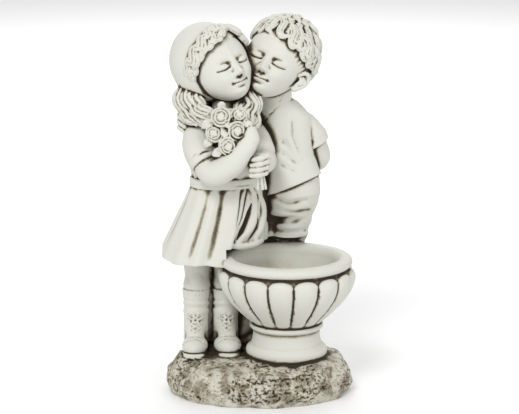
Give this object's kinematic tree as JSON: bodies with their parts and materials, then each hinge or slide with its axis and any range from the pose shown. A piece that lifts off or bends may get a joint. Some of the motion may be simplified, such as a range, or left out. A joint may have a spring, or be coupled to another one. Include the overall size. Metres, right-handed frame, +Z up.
{
  "type": "child garden statue",
  "caption": "Cast-stone garden statue of a girl with a bunch of roses and a boy kissing her cheek, on a rock base behind a lobed planter bowl.",
  "frame": {"origin": "middle of the flat underside of the rock base, on the surface the statue stands on", "axes": "+Z up, the figures and the bowl face -Y, +X towards the bowl's side (the viewer's right)"},
  "size_m": [0.3079, 0.2712, 0.5939],
  "materials": {
    "cast_stone": "matt ivory cast stone with a dark brown stain wiped into its hollows"
  },
  "bodies": {
    "root": {"statue": "cast_stone"}
  },
  "joints": []
}
